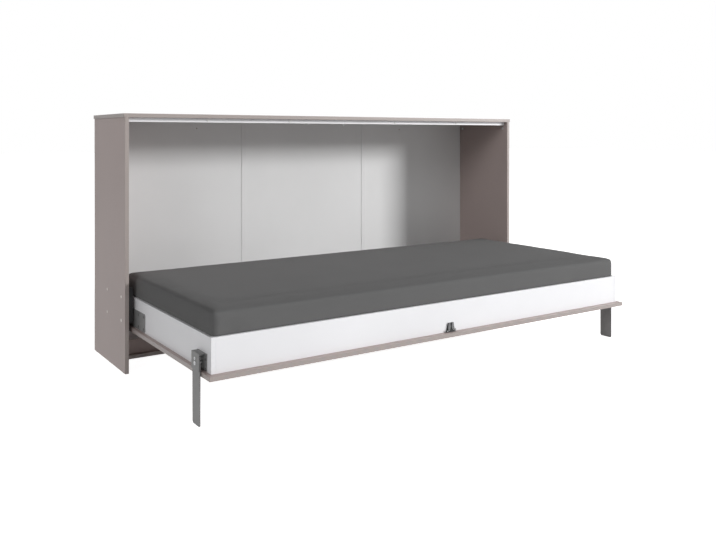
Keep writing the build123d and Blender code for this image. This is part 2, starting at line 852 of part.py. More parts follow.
# Mattress
def mattress():
    """Foam mattress with a crowned top and rounded edges."""
    middle = (frame_front + frame_rear) / 2
    half = mattress_width / 2
    y_range = (row_y(middle - half), row_y(middle + half))
    xs = (-mattress_length / 2, mattress_length / 2)
    top = mattress_bottom + mattress_thickness
    body = block(xs, y_range, (mattress_bottom, top))
    crown_radius = (half ** 2 + mattress_crown ** 2) / (2 * mattress_crown)
    body = body & rod_x(crown_radius, xs, row_y(middle), top - crown_radius)
    body = fillet(body.edges().filter_by(Axis.Z), mattress_corner_round)
    faces = body.faces().sort_by(Axis.Z)
    body = fillet(faces[-1].edges(), mattress_top_round)
    return fillet(body.faces().sort_by(Axis.Z)[0].edges(), mattress_bottom_round)


def save(name, pieces):
    """Write one node, made of one piece or of a list of separate pieces."""
    shape = Compound(pieces) if isinstance(pieces, list) else pieces
    export_step(shape, f"parts/{name}.step")


def save_pair(name, piece):
    """Write a left piece and its mirror image as two nodes."""
    save(f"{name}_left", piece)
    save(f"{name}_right", mirrored(piece))


def main():
    os.makedirs("parts", exist_ok=True)
    save_pair("side_panel", side_panel())
    save("top_panel", top_panel())
    save("stop_rail", stop_rail())
    save("base_board", base_board())
    save("kick_rail", kick_rail())
    save("wall_rail_top", wall_rail(top_underside - wall_rail_height))
    save("wall_rail_bottom", wall_rail(glide_height))
    for index in range(back_panel_count):
        save(f"back_panel_{index + 1}", back_panel(index))
    save("back_joint_strips", joint_strips())
    save("wall_bracket", wall_bracket())
    save("floor_glides", floor_glides())
    save("door_buffers", door_buffers())
    save("cam_locks", both_sides(cam_discs()))
    save("cam_bolts", both_sides(cam_bolts()))
    save("cabinet_dowels", both_sides(side_dowels() + top_dowels()))
    save_pair("hinge_plate", hinge_plate())
    save("hinge_bolts", hinge_bolts())
    save("cover_caps", cover_caps())
    save_pair("pivot_pin", pivot_pin())
    save_pair("strut_pin", strut_pin())
    save("strike_pin", strike_pin())
    save("latch_case", latch_case())
    save("latch_pins", jaw_pins())
    save("latch_screws", latch_screws())
    save_pair("latch_jaw", latch_jaw())
    save("door_panel", door_panel())
    save_pair("end_rail", end_rail())
    save("front_rail", front_rail())
    save("rear_rail", long_rail(frame_rear - rail_board))
    save("frame_dowels", both_sides(frame_dowels()))
    save("slat_ledge_front", slat_ledge(frame_front + rail_board))
    save("slat_ledge_rear", slat_ledge(frame_rear - rail_board - ledge_width))
    save("slats", slats())
    save("slat_holders", slat_holders())
    save("frame_angles", frame_angles())
    save_pair("bed_plate", bed_plate())
    save("bed_plate_screws", both_sides(bed_plate_screws() + leg_plate_screws()))
    save_pair("leg_bracket", leg_bracket())
    save("leg_bolts", both_sides([leg_pin(), leg_stop_pin()]))
    save("leg_spacers", both_sides([leg_spacer()]))
    save_pair("leg", leg())
    save_pair("strut_tube", strut_tube())
    save_pair("strut_rod", strut_rod())
    save("mattress", mattress())


main()
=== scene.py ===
import json
import math

import bmesh
import bpy
from bpy.props import FloatProperty, FloatVectorProperty, IntProperty, PointerProperty
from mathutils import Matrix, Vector


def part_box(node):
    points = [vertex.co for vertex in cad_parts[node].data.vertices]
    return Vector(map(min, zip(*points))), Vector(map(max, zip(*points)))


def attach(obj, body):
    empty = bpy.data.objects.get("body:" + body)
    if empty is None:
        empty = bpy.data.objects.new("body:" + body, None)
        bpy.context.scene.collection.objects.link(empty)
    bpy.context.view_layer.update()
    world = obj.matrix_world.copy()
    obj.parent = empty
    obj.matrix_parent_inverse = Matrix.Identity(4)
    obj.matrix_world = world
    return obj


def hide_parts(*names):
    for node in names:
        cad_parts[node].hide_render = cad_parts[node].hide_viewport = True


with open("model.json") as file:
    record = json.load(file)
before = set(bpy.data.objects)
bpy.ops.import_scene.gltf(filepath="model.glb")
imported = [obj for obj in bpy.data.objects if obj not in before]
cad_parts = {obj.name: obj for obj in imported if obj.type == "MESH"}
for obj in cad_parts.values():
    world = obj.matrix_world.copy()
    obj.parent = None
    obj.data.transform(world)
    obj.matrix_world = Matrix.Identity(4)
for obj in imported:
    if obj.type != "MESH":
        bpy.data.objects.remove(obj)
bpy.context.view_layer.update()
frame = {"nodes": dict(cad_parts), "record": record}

bl_info = {
    "name": "Folding Bed",
    "version": (1, 0, 0),
    "blender": (4, 5, 0),
    "location": "View3D > Sidebar > Folding Bed",
    "description": "Builds the visible pieces and the finishes of a bed that folds into a cabinet",
    "category": "Object",
}

SIDES = (("left", -1), ("right", 1))


# Settings that a user would change
class FoldingBedView(bpy.types.PropertyGroup):
    """Camera."""

    lens: FloatProperty(
        name="Lens", description="Focal length on a 36 mm wide sensor",
        default=39.7, min=10, max=200, unit="CAMERA")
    shift: FloatProperty(
        name="Shift", description="Vertical shift that keeps upright edges parallel",
        default=-0.188, min=-0.5, max=0.5)
    place: FloatVectorProperty(
        name="Place", description="Where the camera stands",
        default=(-2.055, -2.980, 0.961), subtype="XYZ", unit="LENGTH")
    heading: FloatProperty(
        name="Heading", description="Turn to the right, away from looking straight at the wall",
        default=math.radians(33.9), subtype="ANGLE", unit="ROTATION")


class FoldingBedLight(bpy.types.PropertyGroup):
    """Lamps, world and floor."""

    key_power: FloatProperty(
        name="Key power", description="Power of the main lamp", default=1883.0, min=0, unit="POWER")
    key_heading: FloatProperty(
        name="Key heading", description="How far right of the bed's front the main lamp stands",
        default=math.radians(53), subtype="ANGLE", unit="ROTATION")
    key_height: FloatProperty(
        name="Key height", description="Elevation of the main lamp",
        default=math.radians(16), subtype="ANGLE", unit="ROTATION")
    key_size: FloatProperty(
        name="Key size", description="Width of the main lamp", default=2.6, min=0.1, unit="LENGTH")
    side_power: FloatProperty(
        name="Side power", description="Power of the lamp on the left", default=493.0, min=0,
        unit="POWER")
    side_heading: FloatProperty(
        name="Side heading", description="How far left of the bed's front the side lamp stands",
        default=math.radians(60), subtype="ANGLE", unit="ROTATION")
    side_height: FloatProperty(
        name="Side height", description="Elevation of the side lamp",
        default=math.radians(25), subtype="ANGLE", unit="ROTATION")
    front_power: FloatProperty(
        name="Front power", description="Power of the soft lamp near the camera", default=66.0,
        min=0, unit="POWER")
    ambient: FloatProperty(
        name="Ambient", description="Strength of the light from all round", default=0.170, min=0)
    floor_glow: FloatProperty(
        name="Floor glow", description="How much of the pale floor shows without light",
        default=0.93, min=0, max=1)


class FoldingBedColours(bpy.types.PropertyGroup):
    """Colours of the finishes."""

    taupe: FloatVectorProperty(
        name="Taupe board", description="Cabinet boards and door panel",
        default=(0.668, 0.611, 0.598), subtype="COLOR_GAMMA", min=0, max=1)
    taupe_edge: FloatVectorProperty(
        name="Taupe edge", description="Edge bands of the taupe boards",
        default=(0.630, 0.593, 0.578), subtype="COLOR_GAMMA", min=0, max=1)
    white: FloatVectorProperty(
        name="White board", description="Rails of the bed",
        default=(0.925, 0.925, 0.935), subtype="COLOR_GAMMA", min=0, max=1)
    back: FloatVectorProperty(
        name="Back sheet", description="Lacquered face of the cabinet's back",
        default=(0.847, 0.847, 0.847), subtype="COLOR_GAMMA", min=0, max=1)
    cover: FloatVectorProperty(
        name="Mattress cover", description="Knitted cover of the mattress",
        default=(0.388, 0.388, 0.388), subtype="COLOR_GAMMA", min=0, max=1)
    steel: FloatVectorProperty(
        name="Grey steel", description="Legs, leg brackets and bed plates",
        default=(0.469, 0.469, 0.469), subtype="COLOR_GAMMA", min=0, max=1)


class FoldingBedSizes(bpy.types.PropertyGroup):
    """Small shapes of the finished pieces."""

    board_round: FloatProperty(
        name="Board edge", description="Radius of the banded edges of the boards",
        default=0.0008, min=0, max=0.003, precision=4, unit="LENGTH")
    steel_round: FloatProperty(
        name="Steel edge", description="Radius of the pressed edges of the steel pieces",
        default=0.0004, min=0, max=0.001, precision=4, unit="LENGTH")
    slat_round: FloatProperty(
        name="Slat edge", description="Radius of the slats' edges",
        default=0.002, min=0, max=0.003, precision=4, unit="LENGTH")
    cloth_step: FloatProperty(
        name="Cloth step", description="Size of the cover's mesh while it is simulated",
        default=0.012, min=0.005, max=0.03, precision=3, unit="LENGTH")
    cover_swell: FloatProperty(
        name="Cover swell", description="The furthest that the cover may bulge",
        default=0.005, min=0, max=0.02, precision=3, unit="LENGTH")
    settle_frames: IntProperty(
        name="Settling steps", description="Length of the cover's simulation",
        default=18, min=2, max=40)


def settings():
    """The settings that the panel shows."""
    return bpy.context.scene.folding_bed


# Node graphs
def linear(colour):
    """The shader's values for a colour as it shows."""
    return tuple(c / 12.92 if c <= 0.04045 else ((c + 0.055) / 1.055) ** 2.4 for c in colour)


def shade(colour, factor):
    """A lighter or darker version of a colour."""
    return tuple(min(1.0, c * factor) for c in colour)


class Finish:
    """A material and the nodes that feed its surface shader."""

    def __init__(self, name, roughness=0.5, metallic=0.0, **surface):
        self.material = bpy.data.materials.new(name)
        self.material.use_nodes = True
        self.tree = self.material.node_tree
        self.shader = self.tree.nodes["Principled BSDF"]
        self.place = self.node("ShaderNodeTexCoord").outputs["Object"]
        self.set(Roughness=roughness, Metallic=metallic)
        for key, value in surface.items():
            self.shader.inputs[key.replace("_", " ")].default_value = value

    def node(self, kind, **settings):
        """Add a node with these settings."""
        node = self.tree.nodes.new(kind)
        for key, value in settings.items():
            setattr(node, key, value)
        return node

    def feed(self, socket, value):
        """Link a socket to another one, or give it a value."""
        if isinstance(value, bpy.types.NodeSocket):
            self.tree.links.new(value, socket)
        else:
            socket.default_value = value

    def set(self, **inputs):
        """Set or link the surface shader's inputs."""
        for key, value in inputs.items():
            self.feed(self.shader.inputs[key.replace("_", " ")], value)

    def stretched(self, scale):
        """Object coordinates scaled along each axis."""
        node = self.node("ShaderNodeMapping")
        self.feed(node.inputs["Vector"], self.place)
        node.inputs["Scale"].default_value = scale
        return node.outputs["Vector"]

    def noise(self, scale, detail=2.0, where=None, rough=0.5):
        """Cloudy noise."""
        node = self.node("ShaderNodeTexNoise")
        self.feed(node.inputs["Vector"], where or self.place)
        self.feed(node.inputs["Scale"], scale)
        self.feed(node.inputs["Detail"], detail)
        self.feed(node.inputs["Roughness"], rough)
        return node.outputs["Fac"]

    def cells(self, scale, where=None, output="Distance"):
        """Scattered cells, like chips of wood."""
        node = self.node("ShaderNodeTexVoronoi")
        self.feed(node.inputs["Vector"], where or self.place)
        self.feed(node.inputs["Scale"], scale)
        return node.outputs[output]

    def waves(self, scale, axis, distortion=0.0, where=None):
        """Even bands along an axis."""
        node = self.node("ShaderNodeTexWave", bands_direction=axis, wave_profile="SIN")
        self.feed(node.inputs["Vector"], where or self.place)
        self.feed(node.inputs["Scale"], scale)
        self.feed(node.inputs["Distortion"], distortion)
        return node.outputs["Fac"]

    def maths(self, operation, first, second):
        """One sum of two values."""
        node = self.node("ShaderNodeMath", operation=operation)
        self.feed(node.inputs[0], first)
        self.feed(node.inputs[1], second)
        return node.outputs["Value"]

    def span(self, value, low, high, start=0.0, end=1.0):
        """The value moved from one range to another."""
        node = self.node("ShaderNodeMapRange")
        self.feed(node.inputs["Value"], value)
        ends = {"From Min": start, "From Max": end, "To Min": low, "To Max": high}
        for key, number in ends.items():
            node.inputs[key].default_value = number
        return node.outputs["Result"]

    def ramp(self, value, *stops):
        """A colour for each place along the value, from pairs of place and colour."""
        node = self.node("ShaderNodeValToRGB")
        self.feed(node.inputs["Fac"], value)
        elements = node.color_ramp.elements
        while len(elements) < len(stops):
            elements.new(1.0)
        for element, (place, colour) in zip(elements, stops):
            element.position = place
            element.color = (*linear(colour), 1.0)
        return node.outputs["Color"]

    def mottle(self, value, colour, dark, light, start=0.3, end=0.7):
        """Vary the colour along the value, between a darker and a lighter version."""
        stops = (start, shade(colour, dark)), (end, shade(colour, light))
        self.set(Base_Color=self.ramp(value, *stops))

    def shared(self, first, share, second):
        """Two values added, with the first one's share and the second one's remainder."""
        return self.maths("ADD", self.span(first, 0.0, share), self.span(second, 0.0, 1 - share))

    def relief(self, height, depth, strength=1.0):
        """Bump of this depth in metres."""
        node = self.node("ShaderNodeBump")
        self.feed(node.inputs["Height"], height)
        node.inputs["Distance"].default_value = depth
        node.inputs["Strength"].default_value = strength
        self.set(Normal=node.outputs["Normal"])


# Finishes
def foil(name, colour, roughness):
    """Melamine foil on chipboard: an even colour, a very fine grain and a faint sheen."""
    finish = Finish(name, Specular_IOR_Level=0.4)
    cloud = finish.noise(3.0, 3.0)
    grain = finish.noise(900.0, 2.0)
    tone = finish.shared(cloud, 0.7, grain)
    finish.mottle(tone, colour, 0.982, 1.014)
    finish.set(Roughness=finish.span(finish.noise(60.0, 3.0), roughness - 0.04, roughness + 0.05))
    finish.relief(finish.noise(1600.0, 2.0), 0.00003, 0.6)
    return finish.material


def edge_band(name, colour):
    """Plastic edge band: the board's colour, a little smoother, with drawn streaks."""
    finish = Finish(name, Specular_IOR_Level=0.45)
    streaks = finish.noise(1.0, 3.0, finish.stretched((90.0, 90.0, 90.0)))
    finish.mottle(streaks, colour, 0.993, 1.008, 0.35, 0.65)
    finish.set(Roughness=finish.span(streaks, 0.34, 0.46))
    finish.relief(finish.noise(500.0, 2.0), 0.00003, 0.5)
    return finish.material


def chipboard():
    """Bare chipboard on the edges that face the wall and the floor."""
    finish = Finish("bare_chipboard", roughness=0.85)
    chips = finish.cells(420.0, output="Color")
    dust = finish.noise(1400.0, 3.0)
    tone = finish.shared(chips, 0.6, dust)
    finish.set(Base_Color=finish.ramp(
        tone, (0.2, (0.50, 0.40, 0.29)), (0.5, (0.69, 0.58, 0.44)), (0.8, (0.80, 0.71, 0.57))))
    finish.relief(tone, 0.0003)
    return finish.material


def lacquered_sheet(colour):
    """White lacquer on the smooth face of thin fibreboard."""
    finish = Finish("back_lacquer", Specular_IOR_Level=0.35)
    cloud = finish.noise(2.2, 4.0)
    finish.mottle(cloud, colour, 0.985, 1.01)
    finish.set(Roughness=finish.span(finish.noise(120.0, 3.0), 0.46, 0.58))
    finish.relief(finish.noise(700.0, 3.0), 0.00005, 0.6)
    return finish.material


def fibreboard():
    """Brown rear face of the back sheets, with the print of the press screen."""
    finish = Finish("bare_fibreboard", roughness=0.9)
    cloud = finish.noise(9.0, 5.0)
    fibres = finish.noise(900.0, 3.0)
    tone = finish.shared(cloud, 0.5, fibres)
    finish.set(Base_Color=finish.ramp(tone, (0.3, (0.56, 0.43, 0.31)), (0.7, (0.68, 0.54, 0.41))))
    screen = finish.maths("MULTIPLY", finish.waves(150.0, "X"), finish.waves(150.0, "Z"))
    finish.relief(finish.maths("ADD", screen, finish.span(fibres, 0.0, 0.5)), 0.0002)
    return finish.material


def timber(name, light, dark, along):
    """Bare wood with its grain along one axis."""
    finish = Finish(name, Specular_IOR_Level=0.35)
    flat = {"X": (4.0, 60.0, 60.0), "Y": (60.0, 4.0, 60.0), "Z": (60.0, 60.0, 4.0)}[along]
    grain = finish.noise(1.0, 6.0, finish.stretched(flat), 0.62)
    pores = finish.noise(1.0, 2.0, finish.stretched(tuple(9.0 * k for k in flat)))
    tone = finish.shared(grain, 0.75, pores)
    middle = tuple((a + b) / 2 for a, b in zip(light, dark))
    finish.set(Base_Color=finish.ramp(tone, (0.28, dark), (0.5, middle), (0.72, light)))
    finish.set(Roughness=finish.span(grain, 0.5, 0.68))
    finish.relief(tone, 0.00015)
    return finish.material


def plies():
    """Edges of the laminated slats, in thin layers."""
    finish = Finish("slat_plies", roughness=0.6)
    layers = finish.noise(1.0, 1.0, finish.stretched((2.0, 2.0, 700.0)))
    finish.set(Base_Color=finish.ramp(
        layers, (0.42, (0.62, 0.47, 0.31)), (0.5, (0.80, 0.67, 0.49)), (0.58, (0.87, 0.76, 0.58))))
    finish.relief(layers, 0.0001)
    return finish.material


def coated_steel(name, colour, roughness, metallic):
    """Steel under a satin coat, with fine drawn lines and a faint mottle."""
    finish = Finish(name, metallic=metallic, Specular_IOR_Level=0.5)
    mottle = finish.noise(45.0, 4.0)
    lines = finish.noise(1.0, 2.0, finish.stretched((900.0, 900.0, 25.0)))
    tone = finish.shared(mottle, 0.6, lines)
    finish.mottle(tone, colour, 0.94, 1.05)
    finish.set(Roughness=finish.span(tone, roughness - 0.06, roughness + 0.07))
    finish.relief(finish.noise(1500.0, 2.0), 0.00003, 0.7)
    return finish.material


def plating(name, colour, roughness):
    """Bright zinc or chrome plate with a slight cloud."""
    finish = Finish(name, metallic=1.0)
    cloud = finish.noise(160.0, 3.0)
    finish.mottle(cloud, colour, 0.93, 1.04)
    finish.set(Roughness=finish.span(cloud, roughness - 0.04, roughness + 0.06))
    return finish.material


def moulded(name, colour, roughness, depth=0.00005):
    """Moulded plastic with a spark-eroded grain."""
    finish = Finish(name, Specular_IOR_Level=0.45)
    grain = finish.noise(1300.0, 3.0)
    finish.mottle(grain, colour, 0.95, 1.06)
    finish.set(Roughness=finish.span(grain, roughness - 0.05, roughness + 0.06))
    finish.relief(grain, depth)
    return finish.material


def felt():
    """Pressed wool felt."""
    finish = Finish("pressed_felt", roughness=0.95, Sheen_Weight=0.4, Sheen_Roughness=0.5)
    fibres = finish.noise(1800.0, 4.0, rough=0.7)
    finish.set(Base_Color=finish.ramp(fibres, (0.3, (0.88, 0.88, 0.87)), (0.7, (0.96, 0.96, 0.95))))
    finish.relief(fibres, 0.0004)
    return finish.material


def knitted_cover(colour):
    """Plain knit: fine loops in rows, a soft nap and slow changes of tone."""
    finish = Finish("knitted_cover", roughness=0.92, Sheen_Weight=0.05, Sheen_Roughness=0.45,
                    Specular_IOR_Level=0.2)
    rows = finish.waves(290.0, "X", 0.6)
    courses = finish.waves(290.0, "Y", 0.6)
    rise = finish.waves(290.0, "Z", 0.6)
    loops = finish.maths("MULTIPLY", finish.maths("MULTIPLY", rows, courses), rise)
    yarn = finish.noise(800.0, 3.0)
    cloud = finish.noise(5.0, 4.0)
    tone = finish.shared(yarn, 0.45, cloud)
    finish.mottle(tone, colour, 0.98, 1.02)
    nap = finish.maths("ADD", loops, finish.span(yarn, 0.0, 0.8))
    finish.relief(nap, 0.0004, 0.5)
    return finish.material


def all_finishes():
    """Every material of the object, by the name that the pieces ask for."""
    colours = settings().colours
    taupe, white = tuple(colours.taupe), tuple(colours.white)
    grey = tuple(colours.steel)
    return {
        "taupe_face": foil("taupe_face", taupe, 0.47),
        "taupe_edge": edge_band("taupe_edge", tuple(colours.taupe_edge)),
        "white_face": foil("white_face", white, 0.42),
        "white_edge": edge_band("white_edge", shade(white, 0.99)),
        "chipboard": chipboard(),
        "back_lacquer": lacquered_sheet(tuple(colours.back)),
        "fibreboard": fibreboard(),
        "strip_plastic": moulded("strip_plastic", shade(colours.back, 0.985), 0.5),
        "black_plastic": moulded("black_plastic", (0.10, 0.10, 0.10), 0.5, 0.0001),
        "grey_plastic": moulded("grey_plastic", (0.88, 0.86, 0.84), 0.38),
        "felt": felt(),
        "beech": timber("beech", (0.86, 0.72, 0.53), (0.70, 0.53, 0.35), "X"),
        "birch": timber("birch", (0.90, 0.80, 0.63), (0.76, 0.63, 0.45), "Y"),
        "plies": plies(),
        "black_steel": coated_steel("black_steel", (0.13, 0.13, 0.135), 0.42, 0.0),
        "grey_steel": coated_steel("grey_steel", grey, 0.5, 0.1),
        "zinc": plating("zinc_plate", (0.74, 0.745, 0.75), 0.3),
        "cast_zinc": coated_steel("cast_zinc", (0.80, 0.80, 0.80), 0.45, 0.2),
        "dark_zinc": plating("dark_zinc", (0.42, 0.42, 0.425), 0.36),
        "chrome": plating("chrome_plate", (0.86, 0.865, 0.87), 0.09),
        "cover": knitted_cover(tuple(colours.cover)),
    }


finishes = {}


def finish_of(name):
    """A finish, made the first time that a piece asks for one."""
    if not finishes:
        finishes.update(all_finishes())
    return finishes[name]


# Meshes
def body_of(node):
    """The moving body that a CAD node belongs to."""
    bodies = frame["record"]["behaviour"]["bodies"]
    return next(name for name, nodes in bodies.items() if node in nodes)


def join_flats(bm):
    """Merge the split corners and join the triangles of each flat face."""
    bmesh.ops.remove_doubles(bm, verts=bm.verts, dist=1e-6)
    bmesh.ops.dissolve_limit(bm, angle_limit=math.radians(0.4), verts=bm.verts, edges=bm.edges)
    bm.normal_update()


def round_edges(bm, radius, least_length):
    """Round the sharp edges that are at least this long."""
    def is_sharp(edge):
        if len(edge.link_faces) != 2 or edge.calc_length() < least_length:
            return False
        return edge.calc_face_angle(0.0) > math.radians(50)
    sharp = [edge for edge in bm.edges if is_sharp(edge)]
    if sharp and radius:
        bmesh.ops.bevel(bm, geom=sharp, offset=radius, segments=3, profile=0.5,
                        affect="EDGES", clamp_overlap=True, material=-1)


def new_piece(name, bm, materials):
    """Make an object from mesh data, smooth across shallow angles only."""
    mesh = bpy.data.meshes.new(name)
    bm.normal_update()
    bm.to_mesh(mesh)
    bm.free()
    piece = bpy.data.objects.new(name, mesh)
    bpy.context.scene.collection.objects.link(piece)
    for material in materials:
        mesh.materials.append(finish_of(material))
    mesh.shade_smooth()
    mesh.set_sharp_from_angle(angle=math.radians(40))
    weighted = piece.modifiers.new("even_normals", "WEIGHTED_NORMAL")
    weighted.keep_sharp = True
    return piece


def stand_for(piece, node):
    """The piece takes a CAD node's place and body, and the node is hidden."""
    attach(piece, body_of(node))
    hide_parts(node)
    return piece


def dress(node, materials, radius, least_length=0.004, pick=None):
    """Replace a CAD node by the same shape with rounded edges and a finish for each face."""
    bm = bmesh.new()
    bm.from_mesh(frame["nodes"][node].data)
    join_flats(bm)
    if pick:
        for face in bm.faces:
            face.material_index = pick(face)
    else:
        for face in bm.faces:
            face.material_index = 0
    round_edges(bm, radius, least_length)
    return stand_for(new_piece(f"{node}_finished", bm, materials), node)


def islands(node):
    """The corners of each separate solid in a CAD node, from left to right."""
    bm = bmesh.new()
    bm.from_mesh(frame["nodes"][node].data)
    bmesh.ops.remove_doubles(bm, verts=bm.verts, dist=1e-6)
    left = set(bm.verts)
    boxes = []
    while left:
        group, todo = set(), [left.pop()]
        while todo:
            vert = todo.pop()
            group.add(vert)
            near = {edge.other_vert(vert) for edge in vert.link_edges} & left
            left -= near
            todo.extend(near)
        low = Vector(min(v.co[k] for v in group) for k in range(3))
        high = Vector(max(v.co[k] for v in group) for k in range(3))
        boxes.append((low, high))
    bm.free()
    return sorted(boxes, key=lambda box: tuple(box[0]))


def outline_radius(shape, radius, angle):
    """How far a round, hexagonal or cross-shaped outline reaches at an angle."""
    if shape == "hex":
        sixth = math.pi / 3
        return radius * math.cos(sixth / 2) / math.cos(angle % sixth - sixth / 2)
    if shape == "cross":
        across, along = abs(math.sin(angle)), abs(math.cos(angle))
        half_slot = radius * 0.22
        bars = [min(radius / max(a, 1e-6), half_slot / max(b, 1e-6))
                for a, b in ((along, across), (across, along))]
        return max(bars)
    return radius


def add_turned(bm, start, direction, rings, steps=48, material=0):
    """Add a turned solid: rings of (distance along, radius, outline) from its start."""
    turn = Vector((0, 0, 1)).rotation_difference(direction).to_matrix()
    loops = []
    for along, radius, shape in rings:
        loop = []
        for k in range(steps):
            angle = 2 * math.pi * k / steps
            reach = outline_radius(shape, radius, angle)
            point = Vector((reach * math.cos(angle), reach * math.sin(angle), along))
            loop.append(bm.verts.new(start + turn @ point))
        loops.append(loop)
    faces = [bm.faces.new(reversed(loops[0])), bm.faces.new(loops[-1])]
    for low, high in zip(loops, loops[1:]):
        for k in range(steps):
            after = (k + 1) % steps
            faces.append(bm.faces.new((low[k], low[after], high[after], high[k])))
    for face in faces:
        face.material_index = material


def rounded_head(length, head, radius, shank, recess, recess_radius, recess_depth):
    """Rings of a bolt from its tip to a rounded head with a recess."""
    soft = head * 0.3
    under = length - head
    return [
        (0.0, shank * 0.8, "round"),
        (shank * 0.2, shank, "round"),
        (under, shank, "round"),
        (under, radius * 0.97, "round"),
        (under + head * 0.15, radius, "round"),
        (length - soft, radius, "round"),
        (length - soft * 0.3, radius - soft * 0.35, "round"),
        (length, radius - soft, "round"),
        (length, recess_radius, recess),
        (length - recess_depth, recess_radius * 0.94, recess),
    ]


# Camera, lamps and floor
class FOLDINGBED_OT_camera(bpy.types.Operator):
    """Stand the camera where the photograph was taken"""

    bl_idname = "folding_bed.camera"
    bl_label = "Camera"

    def execute(self, context):
        view = settings().view
        camera = bpy.data.cameras.new("camera")
        camera.sensor_fit = "HORIZONTAL"
        camera.sensor_width = 36.0
        camera.lens = view.lens
        camera.shift_y = view.shift
        camera.clip_end = 100.0
        stand = bpy.data.objects.new("camera", camera)
        stand.location = view.place
        stand.rotation_euler = (math.pi / 2, 0.0, -view.heading)
        context.scene.collection.objects.link(stand)
        context.scene.camera = stand
        return {"FINISHED"}


def add_lamp(name, place, target, size, power):
    """A square lamp that faces a point."""
    lamp = bpy.data.lights.new(name, "AREA")
    lamp.shape = "SQUARE"
    lamp.size = size
    lamp.energy = power
    stand = bpy.data.objects.new(name, lamp)
    stand.location = place
    aim = Vector(target) - Vector(place)
    stand.rotation_euler = aim.to_track_quat("-Z", "Y").to_euler()
    bpy.context.scene.collection.objects.link(stand)


def seen_directly(tree):
    """1 for what the camera sees itself, in a mirror or through glass, otherwise 0."""
    path = tree.nodes.new("ShaderNodeLightPath")
    value = path.outputs["Is Camera Ray"]
    for way in ("Is Glossy Ray", "Is Transmission Ray"):
        either = tree.nodes.new("ShaderNodeMath")
        either.operation = "MAXIMUM"
        tree.links.new(value, either.inputs[0])
        tree.links.new(path.outputs[way], either.inputs[1])
        value = either.outputs["Value"]
    return value


class FOLDINGBED_OT_stage(bpy.types.Operator):
    """Lay a pale floor, white surroundings and the lamps"""

    bl_idname = "folding_bed.stage"
    bl_label = "Stage"

    lamp_distance = 14.0
    aim_at = (0.2, 0.1, 0.6)
    side_size = 5.0
    front_heading = math.radians(-10)
    front_height = math.radians(12)
    floor_colour = (0.80, 0.80, 0.80, 1.0)

    def place(self, heading, height):
        """Where a lamp stands, seen from the point that it faces."""
        flat = math.cos(height)
        way = Vector((flat * math.sin(heading), -flat * math.cos(heading), math.sin(height)))
        return Vector(self.aim_at) + self.lamp_distance * way

    def execute(self, context):
        light = settings().light
        add_lamp("key_lamp", self.place(light.key_heading, light.key_height), self.aim_at,
                 light.key_size, light.key_power)
        add_lamp("side_lamp", self.place(-light.side_heading, light.side_height), self.aim_at,
                 self.side_size, light.side_power)
        add_lamp("front_lamp", self.place(self.front_heading, self.front_height), self.aim_at,
                 self.side_size, light.front_power)
        self.make_world(context, light)
        self.make_floor(context, light)
        context.scene.view_settings.view_transform = "Standard"
        return {"FINISHED"}

    def make_world(self, context, light):
        world = bpy.data.worlds.new("surroundings")
        world.use_nodes = True
        context.scene.world = world
        tree = world.node_tree
        background = tree.nodes["Background"]
        background.inputs["Color"].default_value = (1.0, 1.0, 1.0, 1.0)
        seen = seen_directly(tree)
        strength = tree.nodes.new("ShaderNodeMapRange")
        tree.links.new(seen, strength.inputs["Value"])
        strength.inputs["To Min"].default_value = light.ambient
        strength.inputs["To Max"].default_value = 1.0
        tree.links.new(strength.outputs["Result"], background.inputs["Strength"])

    def make_floor(self, context, light):
        bm = bmesh.new()
        bmesh.ops.create_grid(bm, x_segments=8, y_segments=8, size=40.0)
        mesh = bpy.data.meshes.new("floor")
        bm.to_mesh(mesh)
        bm.free()
        floor = bpy.data.objects.new("floor", mesh)
        context.scene.collection.objects.link(floor)
        material = bpy.data.materials.new("pale_floor")
        material.use_nodes = True
        tree = material.node_tree
        shader = tree.nodes["Principled BSDF"]
        shader.inputs["Base Color"].default_value = self.floor_colour
        shader.inputs["Roughness"].default_value = 0.9
        shader.inputs["Specular IOR Level"].default_value = 0.1
        shader.inputs["Emission Color"].default_value = (1.0, 1.0, 1.0, 1.0)
        seen = seen_directly(tree)
        glow = tree.nodes.new("ShaderNodeMapRange")
        tree.links.new(seen, glow.inputs["Value"])
        glow.inputs["To Max"].default_value = light.floor_glow
        tree.links.new(glow.outputs["Result"], shader.inputs["Emission Strength"])
        mesh.materials.append(material)


# Boards
def by_axis(axis):
    """Choose the first finish for faces square to an axis, the second for the edges."""
    return lambda face: 0 if abs(face.normal[axis]) > 0.9 else 1


def with_bare_edges(axis, bare):
    """As by_axis, with the third finish on edges that face a bare direction."""
    def pick(face):
        if abs(face.normal[axis]) > 0.9:
            return 0
        return 2 if any(face.normal.dot(Vector(way)) > 0.9 for way in bare) else 1
    return pick


